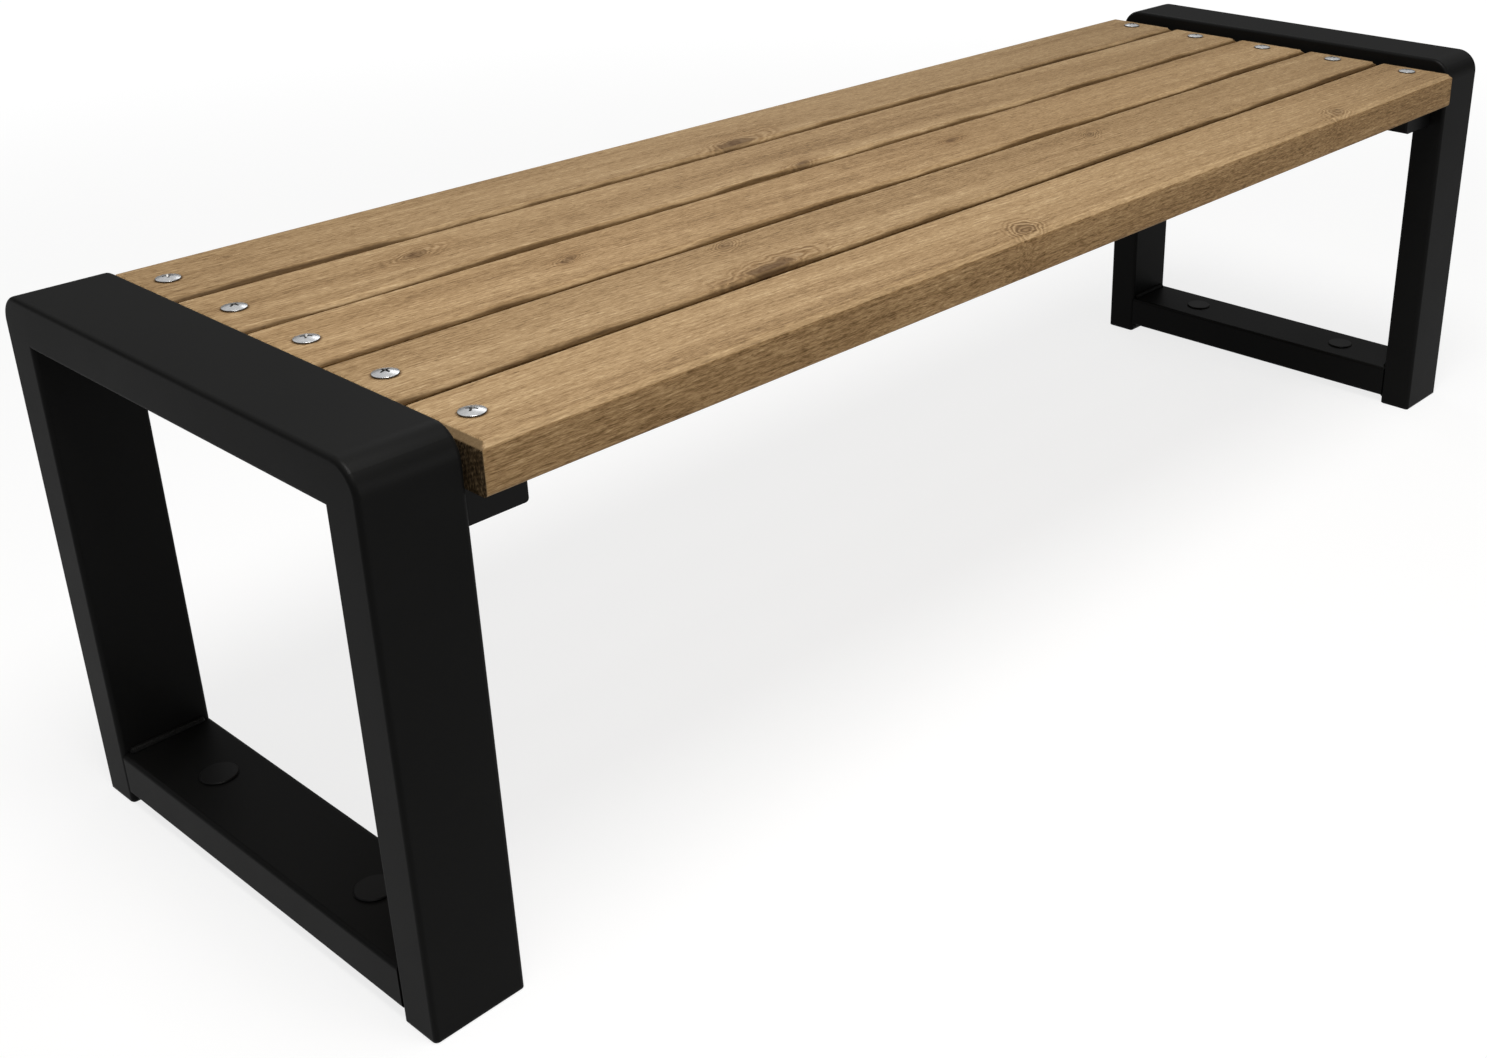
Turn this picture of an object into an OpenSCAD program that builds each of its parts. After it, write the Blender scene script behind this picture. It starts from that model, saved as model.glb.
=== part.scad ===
// Backless bench: five timber slats bolted between two closed end frames of
// rectangular steel tube. X runs along the bench, -Y is the front, Z is up,
// and the origin is on the floor at the middle of the bench.

/* [Overall] */
// Length of the bench over both end frames
bench_length = 1600; // [900:10:2400]
// Height of the end frames above the floor
frame_height = 465; // [360:5:600]

/* [Slats] */
// Width of one slat
slat_w = 95; // [75:1:125]
// Thickness of one slat
slat_t = 40; // [28:1:55]
// Gap between neighbouring slats
slat_gap = 7; // [3:0.5:14]
// How far the outer slats stand past the front and back of the end frames
slat_overhang = 9; // [0:1:15]
// Drop from the top of the end frame to the top of the slats
slat_drop = 12; // [4:1:20]
// Gap between a slat end and the inner face of the end frame
slat_end_gap = 8; // [6:0.5:15]
// Chamfer along the two long top edges of a slat
slat_top_chamfer = 4; // [1:0.5:7]
// Chamfer along the two long bottom edges of a slat
slat_bottom_chamfer = 2; // [0.5:0.5:5]
// Chamfer across the top of each slat end
slat_end_chamfer = 6; // [1:0.5:10]

/* [Frame tube] */
// Width of the frame tube along the bench
tube_w = 80; // [60:1:120]
// Thickness of the frame tube in the plane of the end frame
tube_t = 40; // [32:1:60]
// Wall of the frame tube
tube_wall = 3; // [2:0.5:3.5]
// Radius of the four long edges of the frame tube
tube_edge_r = 4; // [4:0.5:8]
// Outer radius of the two top corners of the end frame
corner_r = 25; // [10:1:30]
// Height of the underside of the base bar above the floor
base_clearance = 10; // [8:1:30]

/* [Seat support] */
// Width of the seat support tube along the bench
support_w = 60; // [48:1:80]
// Height of the seat support tube
support_h = 30; // [20:1:50]
// Wall of the seat support tube
support_wall = 3; // [2:0.5:4]
// Radius of the long edges of the seat support tube
support_edge_r = 3; // [2:0.5:5]
// Distance from the face of the end frame back to the end of the seat support
support_setback = 18; // [10:1:22]
// Thickness of the flange of a seat support end plug
support_plug_flange = 3; // [2:0.5:4]
// Clearance between the inner end of an end plug and the nearest threaded collar
support_plug_gap = 2; // [0.5:0.5:2.5]

/* [Slat fixings] */
// Diameter of a slat bolt
bolt_d = 8; // [6:0.5:10]
// Distance of the slat bolts from the inner face of the end frame
bolt_inset = 36; // [26:1:40]
// Diameter of the bolt head
head_d = 20; // [16:0.5:24]
// Height of the straight rim of the bolt head
head_rim_h = 1.4; // [0.5:0.1:2]
// Height of the dome above the rim of the bolt head
head_dome_h = 1.7; // [1.2:0.1:4]
// Length of each arm pair of the cross recess
recess_len = 9.5; // [6:0.5:12]
// Width of an arm of the cross recess
recess_w = 1.8; // [1:0.1:3]
// Depth of the cross recess below the top of the head
recess_depth = 2.2; // [1.5:0.1:2.5]
// Clearance between a bolt and the side of its hole
bolt_clearance = 0.5; // [0.2:0.1:1]
// Diameter of the threaded collar under the top wall of the seat support
collar_d = 14; // [12:0.5:18]
// Height of the threaded collar below the top wall of the seat support
collar_h = 4; // [2:0.5:6]
// Length of bolt that stands out past the threaded collar
thread_stick_out = 3; // [1:0.1:5]
// Clearance between the bolt and the bore of the threaded collar
thread_clearance = 0.1; // [0.05:0.05:0.3]

/* [Floor anchors] */
// Diameter of the floor anchor hole in the underside of the base bar
anchor_hole_d = 13; // [9:0.5:18]
// Diameter of the access hole above the floor anchor
access_hole_d = 28; // [22:1:34]
// Distance from the inner face of a leg to the nearest floor anchor
anchor_from_leg = 87.5; // [40:0.5:100]
// Diameter of the cap that closes the access hole
cap_d = 32; // [28:1:40]
// Thickness of the cap above the base bar
cap_t = 2; // [1:0.5:4]
// Chamfer around the top of the cap
cap_chamfer = 0.8; // [0.3:0.1:0.9]
// Depth of the cap stem below the top of the base bar
cap_stem_depth = 9; // [5:0.5:14]
// Wall of the hollow cap stem
cap_stem_wall = 2; // [1:0.5:3]

/* [Feet] */
// Thickness of the part of a foot plug that stands below the leg
foot_flange = 3; // [2:0.5:6]
// Height of the stepped edge at the bottom of a foot plug
foot_step = 1; // [0.5:0.1:1.5]
// Depth of a foot plug inside the leg
foot_depth = 22; // [12:1:40]
// Clearance between a plug or cap and the wall around it
plug_clearance = 0.25; // [0.1:0.05:0.5]

/* [Welds] */
// Leg length of a fillet weld bead
bead_r = 5; // [3:0.5:5.5]
// Distance from a rounded tube edge to the end of a weld bead
bead_end_gap = 2; // [0:0.5:5]

/* [Hidden] */

$fn = 64;
slat_count = 5;
// Length by which a cutting shape runs past the surface it cuts
over = 5;
smallest_r = 0.5;

slat_pitch = slat_w + slat_gap;
slat_length = bench_length - 2 * (tube_w + slat_end_gap);
slat_top = frame_height - slat_drop;
slat_bottom = slat_top - slat_t;

frame_depth = slat_count * slat_w + (slat_count - 1) * slat_gap - 2 * slat_overhang;
frame_y = frame_depth / 2;
leg_inner_y = frame_y - tube_t;
tube_x = (tube_w - bench_length) / 2;
frame_inner_x = tube_w - bench_length / 2;
base_top = base_clearance + tube_t;

support_end_y = frame_y - support_setback;
support_x = frame_inner_x + support_w / 2;
support_z = slat_bottom - support_h / 2;
support_bottom = slat_bottom - support_h;

bolt_x = frame_inner_x + bolt_inset;
bolt_hole_d = bolt_d + 2 * bolt_clearance;
thread_bore_d = bolt_d + 2 * thread_clearance;
collar_bottom = slat_bottom - support_wall - collar_h;
bolt_length = slat_t + support_wall + collar_h + thread_stick_out;
bolt_tip_chamfer = 1;
outer_bolt_y = (slat_count - 1) / 2 * slat_pitch;
support_tube_y = support_end_y - support_plug_flange;
support_plug_depth = support_tube_y - outer_bolt_y - collar_d / 2 - support_plug_gap;

anchor_y = leg_inner_y - anchor_from_leg;

steel_black = "#242424";
plug_black = "#161616";
timber_tan = "#b39468";
zinc_bright = "#c9cbcd";

// ---- Shared shapes ----

// Pieces are drawn for the left end and mirrored for the right end
module on_side(side) {
    mirror([side == "right" ? 1 : 0, 0, 0]) children();
}

// Draws its children at the front and again, mirrored, at the rear
module front_and_rear() {
    for (rear = [0, 1])
        mirror([0, rear, 0]) children();
}

module rounded_rect(size_x, size_y, r) {
    square([size_x - 2 * r, size_y], center = true);
    square([size_x, size_y - 2 * r], center = true);
    for (sx = [-1, 1], sy = [-1, 1])
        translate([sx * (size_x / 2 - r), sy * (size_y / 2 - r)])
            circle(r = r);
}

// Section of the frame tube, drawn smaller by inset on every side
module tube_section(inset) {
    rounded_rect(tube_w - 2 * inset, tube_t - 2 * inset, max(tube_edge_r - inset, smallest_r));
}

// Section of the seat support tube, drawn smaller by inset on every side
module support_section(inset) {
    rounded_rect(support_w - 2 * inset, support_h - 2 * inset, max(support_edge_r - inset, smallest_r));
}

module at_each_slat() {
    for (i = [0 : slat_count - 1])
        translate([0, (i - (slat_count - 1) / 2) * slat_pitch, 0]) children();
}

// Fillet bead in the corner between +X and +Y, centred along Z
module weld_bead(length) {
    linear_extrude(length, center = true)
        intersection() {
            circle(r = bead_r);
            square(bead_r);
        }
}

// ---- End frame ----

// Quarter turn of the tube at the front top corner of the end frame
module corner_turn(inset) {
    translate([tube_x, corner_r - frame_y, frame_height - corner_r])
        rotate([90, 0, 90])
            rotate([0, 0, 90])
                rotate_extrude(angle = 90)
                    intersection() {
                        translate([corner_r - tube_t / 2, 0])
                            rotate(90) tube_section(inset);
                        translate([0, -tube_w / 2])
                            square([corner_r, tube_w]);
                    }
}

// Solid arch of two legs and the top rail, with its legs lengthened by reach
module frame_arch(inset, reach) {
    front_and_rear() {
        translate([tube_x, tube_t / 2 - frame_y, foot_flange - reach])
            linear_extrude(frame_height - corner_r - foot_flange + reach)
                tube_section(inset);
        corner_turn(inset);
    }
    translate([tube_x, 0, frame_height - tube_t / 2])
        rotate([90, 0, 0])
            linear_extrude(frame_depth - 2 * corner_r, center = true)
                tube_section(inset);
}

// Slab across the tube with the given outline in the YZ plane
module cut_zone(points) {
    translate([tube_x, 0, 0])
        rotate([90, 0, 90])
            linear_extrude(tube_w + 2 * over, center = true)
                polygon(points);
}

module hollow_arch() {
    difference() {
        frame_arch(0, 0);
        frame_arch(tube_wall, over);
    }
}

// The rail and the legs meet in a mitre that runs through both top corners
module top_rail() {
    color(steel_black)
        intersection() {
            hollow_arch();
            cut_zone([
                [-frame_y - over, frame_height + over],
                [-leg_inner_y + over, frame_height - tube_t - over],
                [leg_inner_y - over, frame_height - tube_t - over],
                [frame_y + over, frame_height + over]
            ]);
        }
}

module front_leg() {
    color(steel_black)
        intersection() {
            hollow_arch();
            cut_zone([
                [-frame_y - over, frame_height + over],
                [-frame_y - over, -over],
                [-leg_inner_y + over, -over],
                [-leg_inner_y + over, frame_height - tube_t - over]
            ]);
        }
}

module rear_leg() {
    mirror([0, 1, 0]) front_leg();
}

module base_bar() {
    color(steel_black)
        difference() {
            translate([tube_x, 0, base_clearance + tube_t / 2])
                rotate([90, 0, 0])
                    difference() {
                        linear_extrude(2 * leg_inner_y, center = true)
                            tube_section(0);
                        linear_extrude(2 * (leg_inner_y + over), center = true)
                            tube_section(tube_wall);
                    }
            front_and_rear() {
                translate([tube_x, -anchor_y, base_clearance - over])
                    cylinder(d = anchor_hole_d, h = tube_wall + 2 * over);
                translate([tube_x, -anchor_y, base_top - tube_wall - over])
                    cylinder(d = access_hole_d, h = tube_wall + 2 * over);
            }
        }
}

// Four beads where the base bar meets the legs, above and below the bar
module base_welds() {
    color(steel_black)
        front_and_rear()
            for (below = [0, 1])
                translate([tube_x, -leg_inner_y, below == 1 ? base_clearance : base_top])
                    mirror([0, 0, below])
                        rotate([90, 0, 90])
                            weld_bead(tube_w - 2 * (tube_edge_r + bead_end_gap));
}

module front_foot() {
    stem_inset = tube_wall + plug_clearance;
    color(plug_black)
        translate([tube_x, tube_t / 2 - frame_y, 0]) {
            translate([0, 0, foot_step])
                linear_extrude(foot_flange - foot_step)
                    tube_section(0);
            linear_extrude(foot_step)
                tube_section(foot_step);
            linear_extrude(foot_flange + foot_depth)
                tube_section(stem_inset);
        }
}

module rear_foot() {
    mirror([0, 1, 0]) front_foot();
}

module anchor_caps() {
    stem_d = access_hole_d - 2 * plug_clearance;
    color(plug_black)
        front_and_rear()
            translate([tube_x, -anchor_y, base_top]) {
                cylinder(d = cap_d, h = cap_t - cap_chamfer);
                translate([0, 0, cap_t - cap_chamfer])
                    cylinder(d1 = cap_d, d2 = cap_d - 2 * cap_chamfer, h = cap_chamfer);
                difference() {
                    translate([0, 0, -cap_stem_depth])
                        cylinder(d = stem_d, h = cap_stem_depth);
                    translate([0, 0, -cap_stem_depth - over])
                        cylinder(d = stem_d - 2 * cap_stem_wall, h = cap_stem_depth + over);
                }
            }
}

// ---- Seat support ----

// Tube with a threaded collar formed in its top wall under each slat bolt
module seat_support() {
    color(steel_black)
        difference() {
            union() {
                translate([support_x, 0, support_z])
                    rotate([90, 0, 0])
                        difference() {
                            linear_extrude(2 * support_tube_y, center = true)
                                support_section(0);
                            linear_extrude(2 * (support_tube_y + over), center = true)
                                support_section(support_wall);
                        }
                at_each_slat()
                    translate([bolt_x, 0, collar_bottom])
                        cylinder(d = collar_d, h = collar_h + support_wall / 2);
            }
            at_each_slat()
                translate([bolt_x, 0, collar_bottom - over])
                    cylinder(d = thread_bore_d, h = collar_h + support_wall + 2 * over);
        }
}

module support_plugs() {
    color(plug_black)
        front_and_rear()
            translate([support_x, -support_end_y, support_z])
                rotate([-90, 0, 0]) {
                    linear_extrude(support_plug_flange)
                        support_section(0);
                    linear_extrude(support_plug_flange + support_plug_depth)
                        support_section(support_wall + plug_clearance);
                }
}

// Four beads where the seat support meets the legs, above and below the support
module support_welds() {
    bead_start = support_setback + support_plug_flange;
    bead_end = tube_t - tube_edge_r;
    color(steel_black)
        front_and_rear()
            for (below = [0, 1])
                translate([
                    frame_inner_x,
                    (bead_start + bead_end) / 2 - frame_y,
                    below == 1 ? support_bottom : slat_bottom
                ])
                    mirror([0, 0, below])
                        rotate([90, 0, 0])
                            weld_bead(bead_end - bead_start);
}

// ---- Slats ----

module slat_cross_section() {
    polygon([
        [-slat_w / 2 + slat_bottom_chamfer, 0],
        [slat_w / 2 - slat_bottom_chamfer, 0],
        [slat_w / 2, slat_bottom_chamfer],
        [slat_w / 2, slat_t - slat_top_chamfer],
        [slat_w / 2 - slat_top_chamfer, slat_t],
        [-slat_w / 2 + slat_top_chamfer, slat_t],
        [-slat_w / 2, slat_t - slat_top_chamfer],
        [-slat_w / 2, slat_bottom_chamfer]
    ]);
}

module slat_side_outline() {
    polygon([
        [-slat_length / 2, 0],
        [slat_length / 2, 0],
        [slat_length / 2, slat_t - slat_end_chamfer],
        [slat_length / 2 - slat_end_chamfer, slat_t],
        [-slat_length / 2 + slat_end_chamfer, slat_t],
        [-slat_length / 2, slat_t - slat_end_chamfer]
    ]);
}

// One slat, counted from the front, with a bolt hole near each end
module slat(number) {
    color(timber_tan)
        translate([0, (number - (slat_count + 1) / 2) * slat_pitch, slat_bottom])
            difference() {
                intersection() {
                    rotate([90, 0, 90])
                        linear_extrude(slat_length, center = true)
                            slat_cross_section();
                    rotate([90, 0, 0])
                        linear_extrude(slat_w + 2 * over, center = true)
                            slat_side_outline();
                }
                for (end = [-1, 1])
                    translate([end * bolt_x, 0, -over])
                        cylinder(d = bolt_hole_d, h = slat_t + 2 * over);
            }
}

// ---- Slat fixings ----

// Dome-headed bolt with a cross recess, its head seated at z = 0
module slat_bolt() {
    dome_r = (pow(head_dome_h, 2) + pow(head_d / 2, 2)) / (2 * head_dome_h);
    head_h = head_rim_h + head_dome_h;
    difference() {
        union() {
            intersection() {
                cylinder(d = head_d, h = head_h);
                translate([0, 0, head_h - dome_r])
                    sphere(r = dome_r);
            }
            translate([0, 0, bolt_tip_chamfer - bolt_length])
                cylinder(d = bolt_d, h = bolt_length - bolt_tip_chamfer + head_rim_h);
            translate([0, 0, -bolt_length])
                cylinder(d1 = bolt_d - 2 * bolt_tip_chamfer, d2 = bolt_d, h = bolt_tip_chamfer);
        }
        for (turn = [0, 90])
            rotate(turn)
                translate([-recess_len / 2, -recess_w / 2, head_h - recess_depth])
                    cube([recess_len, recess_w, recess_depth + over]);
    }
}

module slat_bolts() {
    color(zinc_bright)
        at_each_slat()
            translate([bolt_x, 0, slat_top]) slat_bolt();
}

// ---- One piece for each name in NODES ----

slat(1);  // slat_front
slat(2);  // slat_front_mid
slat(3);  // slat_middle
slat(4);  // slat_rear_mid
slat(5);  // slat_rear
on_side("left") top_rail();  // left_top_rail
on_side("left") front_leg();  // left_front_leg
on_side("left") rear_leg();  // left_rear_leg
on_side("left") base_bar();  // left_base_bar
on_side("left") front_foot();  // left_front_foot
on_side("left") rear_foot();  // left_rear_foot
on_side("left") seat_support();  // left_seat_support
on_side("left") support_plugs();  // left_support_plugs
on_side("left") support_welds();  // left_support_welds
on_side("left") base_welds();  // left_base_welds
on_side("left") anchor_caps();  // left_anchor_caps
on_side("left") slat_bolts();  // left_slat_bolts
on_side("right") top_rail();  // right_top_rail
on_side("right") front_leg();  // right_front_leg
on_side("right") rear_leg();  // right_rear_leg
on_side("right") base_bar();  // right_base_bar
on_side("right") front_foot();  // right_front_foot
on_side("right") rear_foot();  // right_rear_foot
on_side("right") seat_support();  // right_seat_support
on_side("right") support_plugs();  // right_support_plugs
on_side("right") support_welds();  // right_support_welds
on_side("right") base_welds();  // right_base_welds
on_side("right") anchor_caps();  // right_anchor_caps
on_side("right") slat_bolts();  // right_slat_bolts
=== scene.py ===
"""Looks of the backless bench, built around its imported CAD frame."""
import math
from collections import namedtuple

import bmesh
import bpy
from mathutils import Matrix, Vector, noise


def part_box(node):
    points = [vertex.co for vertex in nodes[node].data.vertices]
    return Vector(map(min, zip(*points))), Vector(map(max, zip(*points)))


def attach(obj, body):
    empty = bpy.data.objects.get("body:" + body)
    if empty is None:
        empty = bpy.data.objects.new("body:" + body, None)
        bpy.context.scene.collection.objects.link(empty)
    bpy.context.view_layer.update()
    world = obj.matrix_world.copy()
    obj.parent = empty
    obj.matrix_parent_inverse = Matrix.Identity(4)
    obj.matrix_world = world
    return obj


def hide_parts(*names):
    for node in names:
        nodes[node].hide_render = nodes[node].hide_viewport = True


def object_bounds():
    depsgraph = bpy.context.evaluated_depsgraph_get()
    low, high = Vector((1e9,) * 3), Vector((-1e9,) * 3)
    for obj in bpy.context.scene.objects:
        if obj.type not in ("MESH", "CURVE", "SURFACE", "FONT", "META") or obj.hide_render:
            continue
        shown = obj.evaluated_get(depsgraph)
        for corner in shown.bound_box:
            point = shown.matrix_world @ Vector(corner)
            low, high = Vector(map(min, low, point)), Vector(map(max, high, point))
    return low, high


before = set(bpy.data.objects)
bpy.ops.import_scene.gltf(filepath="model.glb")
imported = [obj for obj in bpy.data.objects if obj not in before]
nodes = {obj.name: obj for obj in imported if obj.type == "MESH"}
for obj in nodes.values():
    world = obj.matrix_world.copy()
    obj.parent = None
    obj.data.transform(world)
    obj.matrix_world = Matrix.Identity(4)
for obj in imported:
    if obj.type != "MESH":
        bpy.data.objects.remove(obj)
cad_lo, cad_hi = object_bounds()

BODY = "root"
SIDES = ("left", "right")
SLATS = ("slat_front", "slat_front_mid", "slat_middle", "slat_rear_mid", "slat_rear")
MM = 0.001
WHITE = (1.0, 1.0, 1.0, 1.0)


# ---- Camera, floor and light ----

# The camera looks at this point, which is given from the middle of the bench at floor level.
CAMERA_TARGET = Vector((0.0758, 0.0, 0.1204))
CAMERA_DISTANCE = 1.9833
CAMERA_AZIMUTH = math.radians(-50.25)
CAMERA_ELEVATION = math.radians(24.34)
CAMERA_ROLL = math.radians(0.54)
CAMERA_LENS = 42.645
CAMERA_SENSOR = 36.0
CAMERA_SHIFT = (-0.1436, -0.0672)


def add_camera():
    data = bpy.data.cameras.new("camera")
    data.sensor_width = CAMERA_SENSOR
    data.lens = CAMERA_LENS
    data.shift_x, data.shift_y = CAMERA_SHIFT
    camera = bpy.data.objects.new("camera", data)
    bpy.context.scene.collection.objects.link(camera)
    back = Vector((
        math.sin(CAMERA_AZIMUTH) * math.cos(CAMERA_ELEVATION),
        -math.cos(CAMERA_AZIMUTH) * math.cos(CAMERA_ELEVATION),
        math.sin(CAMERA_ELEVATION),
    ))
    middle = (cad_lo + cad_hi) / 2
    target = Vector((middle.x, middle.y, cad_lo.z)) + CAMERA_TARGET
    camera.location = target + back * CAMERA_DISTANCE
    aim = (-back).to_track_quat("-Z", "Y").to_matrix().to_4x4()
    camera.rotation_euler = (aim @ Matrix.Rotation(CAMERA_ROLL, 4, "Z")).to_euler()
    bpy.context.scene.camera = camera


FLOOR_RADIUS = 60.0
FLOOR_SIDES = 96
FLOOR_CLEARANCE = 0.2 * MM
# The floor is a pale sweep: matt under the bench and brighter towards its rim. It glows less
# for the bench than for the camera, so that it looks white and throws little light upwards.
FLOOR_COLOUR = (0.23, 0.23, 0.229, 1.0)
FLOOR_RIM_COLOUR = (0.05, 0.05, 0.05, 1.0)
FLOOR_GLOW = 0.80
FLOOR_GLOW_RIM = 1.0
FLOOR_GLOW_ON_BENCH = 0.31
FLOOR_FADE = (1.0, 3.5)
FLOOR_ROUGHNESS = 0.75
FLOOR_SPECULAR = 0.1


def add_floor():
    shape = bmesh.new()
    bmesh.ops.create_circle(shape, cap_ends=True, segments=FLOOR_SIDES, radius=FLOOR_RADIUS)
    floor = new_object("floor", shape)
    floor.location.z = cad_lo.z - FLOOR_CLEARANCE
    sh = Shader("floor_paint")
    reach = sh.node("ShaderNodeVectorMath", operation="LENGTH")
    sh.feed(reach.inputs[0], sh.coords())
    rim = sh.step(reach.outputs["Value"], *FLOOR_FADE)
    glow = sh.add(sh.times(rim, FLOOR_GLOW_RIM - FLOOR_GLOW), FLOOR_GLOW)
    seen = sh.node("ShaderNodeLightPath").outputs["Is Camera Ray"]
    unseen = sh.math("SUBTRACT", 1.0, seen)
    sh.surface(
        colour=sh.blend(rim, FLOOR_COLOUR, FLOOR_RIM_COLOUR),
        roughness=FLOOR_ROUGHNESS,
        Emission_Color=WHITE,
        Specular_IOR_Level=FLOOR_SPECULAR,
        Emission_Strength=sh.add(sh.times(seen, glow), sh.times(unseen, FLOOR_GLOW_ON_BENCH)),
    )
    floor.data.materials.append(sh.material)


# Sockets of a Mix node: its factor, the pairs that it mixes as numbers or colours, and the
# output for colours.
MIX_FACTOR = 0
MIX_NUMBERS = (2, 3)
MIX_COLOURS = (6, 7)
MIX_COLOUR_OUT = 2

SKY_BRIGHTNESS = 0.14
# Smooth surfaces mirror a room that is brighter than the one that lights the bench, and dark
# near its horizon. The rise is given as the upward part of the mirrored direction.
SKY_IN_GLOSS = 0.46
GLOSS_AT_HORIZON = 0.05
GLOSS_RISE = (0.20, 0.45)
BACKDROP_BRIGHTNESS = 1.0
# Name, place, size, power in watts, colour: each lamp is a soft disc that points at the seat.
LAMPS = (
    ("overhead_box", (-0.70, -0.75, 3.0), 1.5, 77.5, (1.0, 0.99, 0.975)),
    ("rear_box", (1.9, 2.3, 2.6), 1.3, 7.0, (0.98, 0.99, 1.0)),
    ("front_box", (0.9, -3.6, 1.0), 1.6, 17.0, (1.0, 0.995, 0.985)),
)


def add_sky():
    scene = bpy.context.scene
    scene.view_settings.view_transform = "Standard"
    world = bpy.data.worlds.new("studio")
    scene.world = world
    world.use_nodes = True
    tree = world.node_tree
    tree.nodes.clear()
    out = tree.nodes.new("ShaderNodeOutputWorld")
    sky = tree.nodes.new("ShaderNodeBackground")
    backdrop = tree.nodes.new("ShaderNodeBackground")
    pick = tree.nodes.new("ShaderNodeMixShader")
    ray = tree.nodes.new("ShaderNodeLightPath")
    where = tree.nodes.new("ShaderNodeTexCoord")
    height = tree.nodes.new("ShaderNodeSeparateXYZ")
    rise = tree.nodes.new("ShaderNodeMapRange")
    rise.interpolation_type = "SMOOTHSTEP"
    # These four sockets are the range that comes in and the range that goes out.
    for socket, value in zip(rise.inputs[1:5], (*GLOSS_RISE, GLOSS_AT_HORIZON, SKY_IN_GLOSS)):
        socket.default_value = value
    strength = tree.nodes.new("ShaderNodeMix")
    plain, mirrored = MIX_NUMBERS
    strength.inputs[plain].default_value = SKY_BRIGHTNESS
    tree.links.new(where.outputs["Generated"], height.inputs[0])
    tree.links.new(height.outputs["Z"], rise.inputs[0])
    tree.links.new(ray.outputs["Is Glossy Ray"], strength.inputs[MIX_FACTOR])
    tree.links.new(rise.outputs[0], strength.inputs[mirrored])
    tree.links.new(strength.outputs[0], sky.inputs["Strength"])
    sky.inputs["Color"].default_value = WHITE
    backdrop.inputs["Strength"].default_value = BACKDROP_BRIGHTNESS
    backdrop.inputs["Color"].default_value = WHITE
    tree.links.new(ray.outputs["Is Camera Ray"], pick.inputs[0])
    tree.links.new(sky.outputs[0], pick.inputs[1])
    tree.links.new(backdrop.outputs[0], pick.inputs[2])
    tree.links.new(pick.outputs[0], out.inputs["Surface"])


def add_lamps():
    seat = Vector((0.0, 0.0, cad_hi.z))
    for name, place, size, power, colour in LAMPS:
        data = bpy.data.lights.new(name, "AREA")
        data.shape = "DISK"
        data.size = size
        data.energy = power
        data.color = colour
        lamp = bpy.data.objects.new(name, data)
        bpy.context.scene.collection.objects.link(lamp)
        lamp.location = place
        lamp.rotation_euler = (seat - Vector(place)).to_track_quat("-Z", "Y").to_euler()


# ---- Shader building ----

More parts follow.
